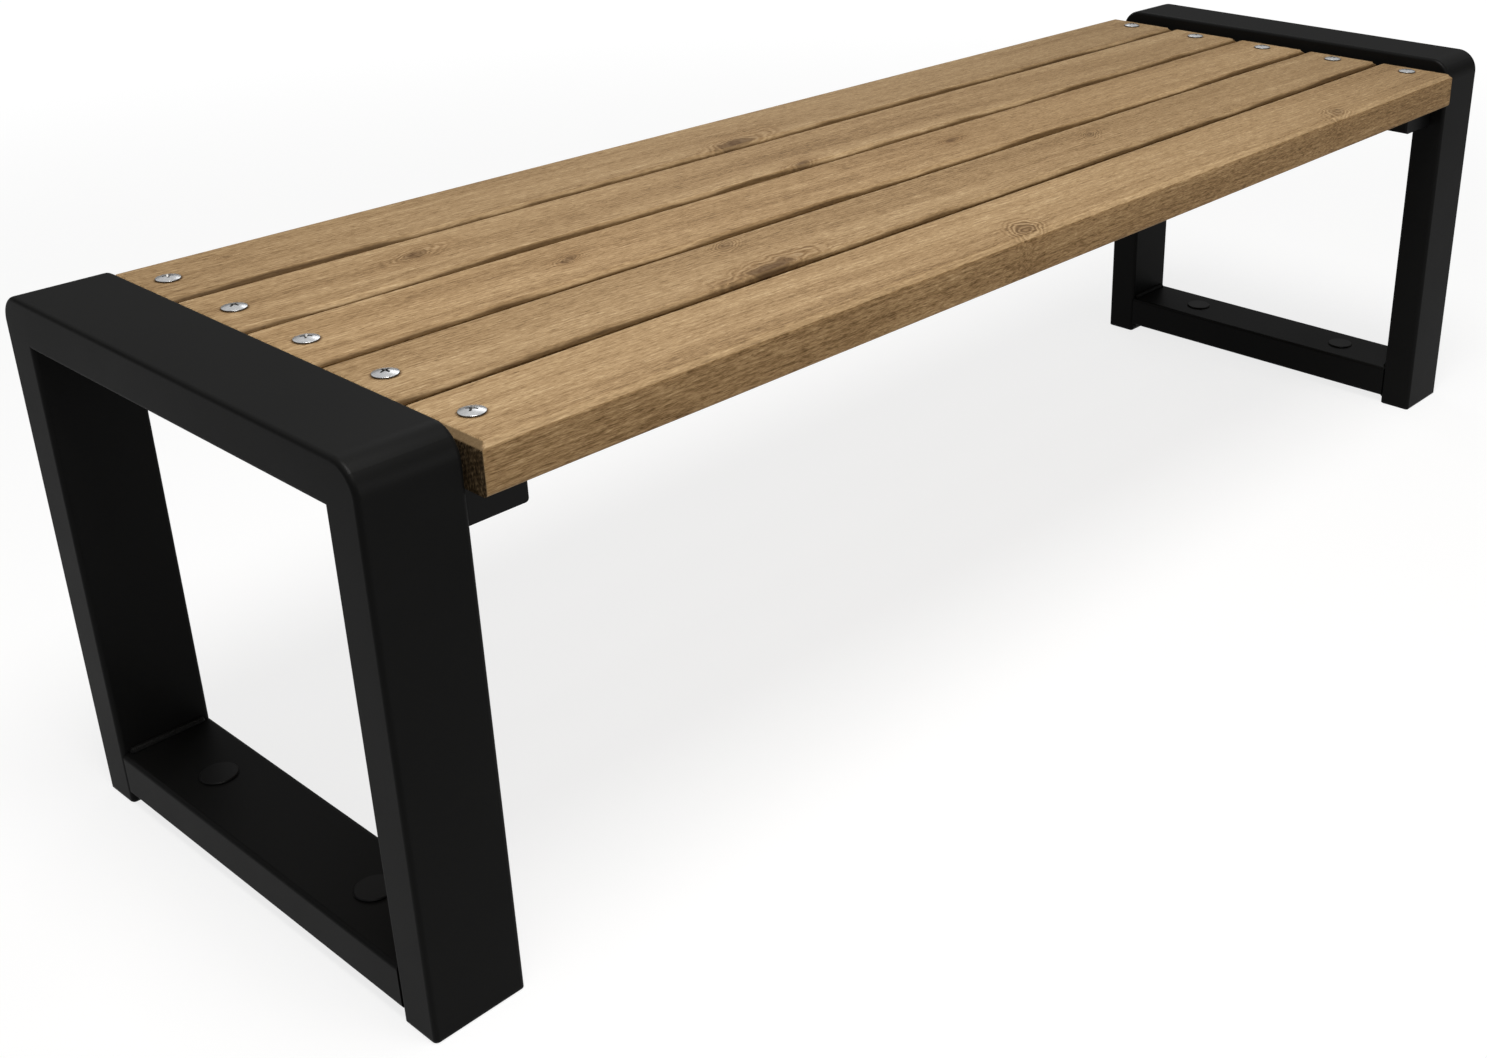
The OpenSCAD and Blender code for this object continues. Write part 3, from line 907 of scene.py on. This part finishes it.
def bolt_outline(head_r, head_h, length):
    """Radius and height of the turned shape of a bolt, from its tip to the top of its dome."""
    points = [
        (BOLT_R - BOLT_TIP, -length),
        (BOLT_R, BOLT_TIP - length),
        (BOLT_R, 0.0),
        (head_r - HEAD_FOOT_ROUND, 0.0),
        (head_r, HEAD_FOOT_ROUND),
    ]
    rim_r = head_r - HEAD_RIM_ROUND
    for k in range(HEAD_RIM_STEPS):
        angle = math.radians(90 * k / HEAD_RIM_STEPS)
        points.append((
            rim_r + HEAD_RIM_ROUND * math.cos(angle),
            HEAD_RIM_H - HEAD_RIM_ROUND + HEAD_RIM_ROUND * math.sin(angle),
        ))
    rise = head_h - HEAD_RIM_H
    dome_r = (rise ** 2 + rim_r ** 2) / (2 * rise)
    for k in range(DOME_STEPS):
        r = rim_r * (1 - k / DOME_STEPS)
        points.append((r, head_h - dome_r + math.sqrt(dome_r ** 2 - r ** 2)))
    return points


def turned(shape, outline, top_z, sides):
    """Spins an outline into a closed solid whose last point joins at top_z on the axis."""
    rings = []
    for r, z in outline:
        rings.append([
            shape.verts.new((
                r * math.cos(2 * math.pi * k / sides), r * math.sin(2 * math.pi * k / sides), z
            ))
            for k in range(sides)
        ])
    for low, high in zip(rings, rings[1:]):
        for k in range(sides):
            j = (k + 1) % sides
            shape.faces.new((low[k], low[j], high[j], high[k]))
    shape.faces.new(rings[0][::-1])
    top = shape.verts.new((0.0, 0.0, top_z))
    for k in range(sides):
        shape.faces.new((rings[-1][k], rings[-1][(k + 1) % sides], top))


def tapered_block(shape, mouth, floor, mouth_z, floor_z):
    loops = []
    for (half_length, half_width), z in ((floor, floor_z), (mouth, mouth_z)):
        loops.append([
            shape.verts.new((sx * half_length, sy * half_width, z))
            for sx, sy in ((-1, -1), (1, -1), (1, 1), (-1, 1))
        ])
    join_loops(shape, loops)


def recess_cutters(head_h):
    """The two arms and the middle of the cross recess, each as its own closed shape."""
    mouth_z = head_h + RECESS_DEPTH
    floor_z = head_h - RECESS_DEPTH
    # The sides keep their slope above the mouth, so that the cut has its named size there.
    mouth = [2 * m - f for m, f in zip(RECESS_MOUTH, RECESS_FLOOR)]
    cutters = []
    for swapped in (False, True):
        shape = bmesh.new()
        tapered_block(shape, mouth, RECESS_FLOOR, mouth_z, floor_z)
        if swapped:
            quarter = Matrix.Rotation(math.pi / 2, 3, "Z")
            bmesh.ops.rotate(shape, verts=shape.verts, matrix=quarter)
        cutters.append(new_object("recess_arm", shape))
    shape = bmesh.new()
    bmesh.ops.create_cone(
        shape, cap_ends=True, segments=RECESS_MIDDLE_SIDES, radius1=RECESS_MIDDLE_FLOOR,
        radius2=2 * RECESS_MIDDLE_MOUTH - RECESS_MIDDLE_FLOOR, depth=mouth_z - floor_z,
        matrix=Matrix.Translation((0.0, 0.0, head_h)),
    )
    cutters.append(new_object("recess_middle", shape))
    return cutters


def make_bolts():
    """Makes one bolt as a pattern, and sets a copy of it in each slat at both ends."""
    lo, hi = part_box("left_slat_bolts")
    seat_z = SLAT_HI[SLATS[0]].z
    head_h = hi.z - seat_z
    shape = bmesh.new()
    turned(shape, bolt_outline((hi.x - lo.x) / 2, head_h, seat_z - lo.z), head_h, HEAD_SIDES)
    smooth_faces(shape)
    pattern = new_object("bolt_pattern", shape)
    set_material(pattern, ZINC)
    for cutter in recess_cutters(head_h):
        set_material(cutter, RECESS)
        subtract(pattern, cutter)
    merge_points(pattern)
    for side in SIDES:
        place_bolts(side, pattern, seat_z)
    bpy.data.objects.remove(pattern)


def place_bolts(side, pattern, seat_z):
    name = side + "_slat_bolts"
    lo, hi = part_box(name)
    shape = bmesh.new()
    for slat, degrees in zip(SLATS, BOLT_TURNS[side]):
        bolt = pattern.data.copy()
        place = Vector(((lo.x + hi.x) / 2, (SLAT_LO[slat].y + SLAT_HI[slat].y) / 2, seat_z))
        turn = Matrix.Rotation(math.radians(degrees), 4, "Z")
        bolt.transform(Matrix.Translation(place) @ turn)
        shape.from_mesh(bolt)
        bpy.data.meshes.remove(bolt)
    bolts = new_object(name + "_driven", shape)
    for material in pattern.data.materials:
        bolts.data.materials.append(material)
    finish_piece(bolts, name)


# ---- Weld beads ----

TUBE_EDGE_R = 4 * MM
BEAD_STEP = 0.35 * MM
BEAD_ARC_STEPS = 10
BEAD_END = 2.2 * MM
BEAD_END_SIZE = 0.55
# Ripples: their pitch, how far their middle runs ahead, and their depth as a part of the leg.
RIPPLE_PITCH = 1.7 * MM
RIPPLE_BOW = 1.1 * MM
RIPPLE_DEPTH = 0.13
# The welder's hand: how far ripples stray, how much the size varies, and the rates per metre.
RIPPLE_STRAY = 0.5 * MM
STRAY_RATE = 250.0
SIZE_SWING = 0.05
SIZE_RATE = 120.0
BASE_WELD_SEED = 0.5
SUPPORT_WELD_SEED = 10.5
# The four beads of a set: at the front or rear leg, and below or above the tube.
BEAD_PLACES = ((-1, -1), (-1, 1), (1, -1), (1, 1))


def add_bead(shape, start, end, first_leg, second_leg, seed):
    """Lays a rippled bead in a corner, from start to end, with its legs along two directions."""
    run = end - start
    length = run.length
    count = max(2, round(length / BEAD_STEP))
    rings = []
    for k in range(count + 1):
        s = length * k / count
        size = 1.0
        to_end = min(s, length - s)
        if to_end < BEAD_END:
            near = 1 - to_end / BEAD_END
            size = 1 - (1 - BEAD_END_SIZE) * near ** 2
        centre = start + run * (s / length)
        ring = [shape.verts.new(centre)]
        for i in range(BEAD_ARC_STEPS + 1):
            angle = math.radians(90 * i / BEAD_ARC_STEPS)
            bowed = s + RIPPLE_BOW * math.sin(2 * angle)
            bowed += RIPPLE_STRAY * noise.noise(Vector((s * STRAY_RATE, seed, 0.0)))
            turn = (bowed / RIPPLE_PITCH) % 1.0
            scale = 1 - RIPPLE_DEPTH * (1 - math.sqrt(math.sin(math.pi * turn)))
            wave = 0.5 + 0.5 * noise.noise(Vector((s * SIZE_RATE, angle, seed)))
            reach = size * scale * (1 - SIZE_SWING * wave)
            ring.append(shape.verts.new(
                centre + (first_leg * math.cos(angle) + second_leg * math.sin(angle)) * reach
            ))
        rings.append(ring)
    join_loops(shape, rings)


def make_base_welds(side):
    name = side + "_base_welds"
    lo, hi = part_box(name)
    bar_lo, bar_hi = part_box(side + "_base_bar")
    leg_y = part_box(side + "_front_leg")[1].y
    size = hi.z - bar_hi.z
    shape = bmesh.new()
    for count, (end, sign_z) in enumerate(BEAD_PLACES):
        y = end * abs(leg_y)
        z = bar_hi.z if sign_z > 0 else bar_lo.z
        add_bead(
            shape, Vector((lo.x, y, z)), Vector((hi.x, y, z)),
            Vector((0.0, -end * size, 0.0)), Vector((0.0, 0.0, sign_z * size)),
            count + BASE_WELD_SEED,
        )
    finish_beads(name, shape)


def make_support_welds(side):
    name = side + "_support_welds"
    lo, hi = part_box(name)
    support_lo, support_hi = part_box(side + "_seat_support")
    leg_lo, leg_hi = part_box(side + "_front_leg")
    size = hi.z - support_hi.z
    away = 1 if side == "left" else -1
    x = leg_hi.x if side == "left" else leg_lo.x
    inner = abs(leg_hi.y) + TUBE_EDGE_R
    shape = bmesh.new()
    for count, (end, sign_z) in enumerate(BEAD_PLACES):
        z = support_hi.z if sign_z > 0 else support_lo.z
        add_bead(
            shape, Vector((x, end * inner, z)), Vector((x, end * abs(lo.y), z)),
            Vector((away * size, 0.0, 0.0)), Vector((0.0, 0.0, sign_z * size)),
            count + SUPPORT_WELD_SEED,
        )
    finish_beads(name, shape)


def finish_beads(name, shape):
    bmesh.ops.recalc_face_normals(shape, faces=shape.faces)
    smooth_faces(shape)
    beads = new_object(name + "_rippled", shape)
    set_material(beads, STEEL)
    finish_piece(beads, name)


# ---- Coated steel, plastic and zinc ----

# Each noise is given by its cycles per metre, detail and roughness.

COAT_PEEL = (620.0, 2.0, 0.55)
COAT_GRIT = (2600.0, 2.0, 0.6)
COAT_CLOUD = (9.0, 3.0, 0.55)
COAT_DUST = (1500.0, 2.0, 0.6)
COAT_COLOURS = (
    (0.25, (0.0040, 0.0040, 0.0039)),
    (0.75, (0.0074, 0.0074, 0.0071)),
)
# How much of the colour comes from the clouds and from the grit.
COAT_SHARES = (0.6, 0.4)
# Dust lies on faces that look up, where its noise is high.
DUST_SHOWS = (0.66, 0.78)
DUST_FACES_UP = (0.5, 0.95)
DUST_DENSITY = 0.30
DUST_COLOUR = (0.050, 0.050, 0.048, 1.0)
COAT_ROUGHNESS = 0.42
COAT_CLOUD_SWING = 0.06
COAT_GRIT_SWING = 0.05
# Depth and strength of each layer of relief.
PEEL_RELIEF = (0.10 * MM, 0.30)
GRIT_RELIEF = (0.04 * MM, 0.30)
COAT_SPECULAR = 0.085


def powder_coat_material():
    sh = Shader("black_powder_coat")
    place = sh.coords()
    peel = sh.noise(place, *COAT_PEEL)
    grit = sh.noise(place, *COAT_GRIT)
    cloud = sh.noise(place, *COAT_CLOUD)
    dust = sh.step(sh.noise(place, *COAT_DUST), *DUST_SHOWS)
    normal_z = sh.normal()[2]
    cloud_share, grit_share = COAT_SHARES
    tone = sh.add(sh.times(cloud, cloud_share), sh.times(grit, grit_share))
    dusty = sh.times(sh.times(dust, sh.step(normal_z, *DUST_FACES_UP)), DUST_DENSITY)
    sh.surface(
        colour=sh.blend(dusty, sh.ramp(tone, COAT_COLOURS), DUST_COLOUR),
        roughness=sh.total(
            COAT_ROUGHNESS, sh.centred(cloud, COAT_CLOUD_SWING), sh.centred(grit, COAT_GRIT_SWING)
        ),
        normal=sh.bump((peel, *PEEL_RELIEF), (grit, *GRIT_RELIEF)),
        Specular_IOR_Level=COAT_SPECULAR,
    )
    return sh.material


PLASTIC_GRAIN = (1900.0, 3.0, 0.6)
PLASTIC_CLOUD = (30.0, 2.0, 0.5)
PLASTIC_SHARES = (0.5, 0.5)
PLASTIC_COLOURS = (
    (0.2, (0.0032, 0.0032, 0.0033)),
    (0.8, (0.0060, 0.0060, 0.0060)),
)
PLASTIC_ROUGHNESS = 0.40
PLASTIC_GRAIN_SWING = 0.08
PLASTIC_CLOUD_SWING = 0.05
PLASTIC_RELIEF = (0.06 * MM, 0.35)
PLASTIC_SPECULAR = 0.16


def plastic_material():
    sh = Shader("black_moulded_plastic")
    place = sh.coords()
    grain = sh.noise(place, *PLASTIC_GRAIN)
    cloud = sh.noise(place, *PLASTIC_CLOUD)
    cloud_share, grain_share = PLASTIC_SHARES
    tone = sh.add(sh.times(cloud, cloud_share), sh.times(grain, grain_share))
    sh.surface(
        colour=sh.ramp(tone, PLASTIC_COLOURS),
        roughness=sh.total(
            PLASTIC_ROUGHNESS,
            sh.centred(grain, PLASTIC_GRAIN_SWING),
            sh.centred(cloud, PLASTIC_CLOUD_SWING),
        ),
        normal=sh.bump((grain, *PLASTIC_RELIEF)),
        Specular_IOR_Level=PLASTIC_SPECULAR,
    )
    return sh.material


RECESS_SHADE_MOTTLE = (900.0, 3.0, 0.6)
RECESS_SCUFFS = (5200.0, 2.0, 0.6)
RECESS_SHADE_COLOURS = (
    (0.30, (0.060, 0.058, 0.055)),
    (0.75, (0.260, 0.258, 0.250)),
)
RECESS_ROUGHNESS = 0.42
RECESS_MOTTLE_SWING = 0.10
RECESS_SCUFF_SWING = 0.05
RECESS_RELIEF = (0.04 * MM, 0.35)


def recess_material():
    """Zinc that the driver has scuffed, painted dark as the shade inside the recess."""
    sh = Shader("dull_zinc_recess")
    place = sh.coords()
    painted_shade = sh.noise(place, *RECESS_SHADE_MOTTLE)
    scuffs = sh.noise(place, *RECESS_SCUFFS)
    # Painted shade: the recess is coloured dark in place of the shade inside the cross.
    sh.surface(
        colour=sh.ramp(painted_shade, RECESS_SHADE_COLOURS),
        roughness=sh.total(
            RECESS_ROUGHNESS,
            sh.centred(painted_shade, RECESS_MOTTLE_SWING),
            sh.centred(scuffs, RECESS_SCUFF_SWING),
        ),
        normal=sh.bump((scuffs, *RECESS_RELIEF)),
        Metallic=1.0,
    )
    return sh.material


ZINC_SPANGLE = (420.0, 3.0, 0.6)
ZINC_FINE = (4200.0, 2.0, 0.6)
ZINC_STAIN = (260.0, 3.0, 0.6)
ZINC_STAIN_SHOWS = (0.60, 0.75)
ZINC_COLOURS = (
    (0.25, (0.70, 0.71, 0.72)),
    (0.75, (0.86, 0.865, 0.87)),
)
ZINC_STAIN_DENSITY = 0.18
ZINC_STAIN_COLOUR = (0.34, 0.34, 0.33, 1.0)
# Painted shade darkens the upright rim of each head: the upward part of the normal, density and
# colour.
RIM_FACES = (0.93, 0.55)
RIM_SHADE_DENSITY = 0.88
RIM_SHADE_COLOUR = (0.070, 0.070, 0.066, 1.0)
ZINC_ROUGHNESS = 0.26
ZINC_SPANGLE_SWING = 0.06
ZINC_STAIN_ROUGHER = 0.10
ZINC_FINE_SWING = 0.04
ZINC_RELIEF = (0.03 * MM, 0.08)
ZINC_METALLIC = 0.82


def zinc_material():
    sh = Shader("bright_zinc_plate")
    place = sh.coords()
    spangle = sh.noise(place, *ZINC_SPANGLE)
    fine = sh.noise(place, *ZINC_FINE)
    stain = sh.step(sh.noise(place, *ZINC_STAIN), *ZINC_STAIN_SHOWS)
    # Painted shade on the upright rim, where the head meets the timber.
    rim = sh.times(sh.step(sh.normal()[2], *RIM_FACES), RIM_SHADE_DENSITY)
    colour = sh.ramp(spangle, ZINC_COLOURS)
    colour = sh.blend(sh.times(stain, ZINC_STAIN_DENSITY), colour, ZINC_STAIN_COLOUR)
    sh.surface(
        colour=sh.blend(rim, colour, RIM_SHADE_COLOUR),
        roughness=sh.total(
            ZINC_ROUGHNESS,
            sh.centred(spangle, ZINC_SPANGLE_SWING),
            sh.times(stain, ZINC_STAIN_ROUGHER),
            sh.centred(fine, ZINC_FINE_SWING),
        ),
        normal=sh.bump((fine, *ZINC_RELIEF)),
        Metallic=ZINC_METALLIC,
    )
    return sh.material


STEEL_NODES = ("top_rail", "front_leg", "rear_leg", "base_bar", "seat_support")
PLASTIC_NODES = ("front_foot", "rear_foot", "support_plugs", "anchor_caps")


def coat_nodes():
    """Gives the steel and plastic nodes of the frame their materials."""
    for side in SIDES:
        for names, material in ((STEEL_NODES, STEEL), (PLASTIC_NODES, PLASTIC)):
            for name in names:
                for slot in nodes[side + "_" + name].material_slots:
                    slot.link = "OBJECT"
                    slot.material = material


# ---- The scene ----

add_camera()
add_floor()
add_sky()
add_lamps()
STEEL = powder_coat_material()
PLASTIC = plastic_material()
ZINC = zinc_material()
RECESS = recess_material()
coat_nodes()
for slat_name in SLATS:
    make_slat(slat_name)
make_bolts()
for end_name in SIDES:
    make_base_welds(end_name)
    make_support_welds(end_name)
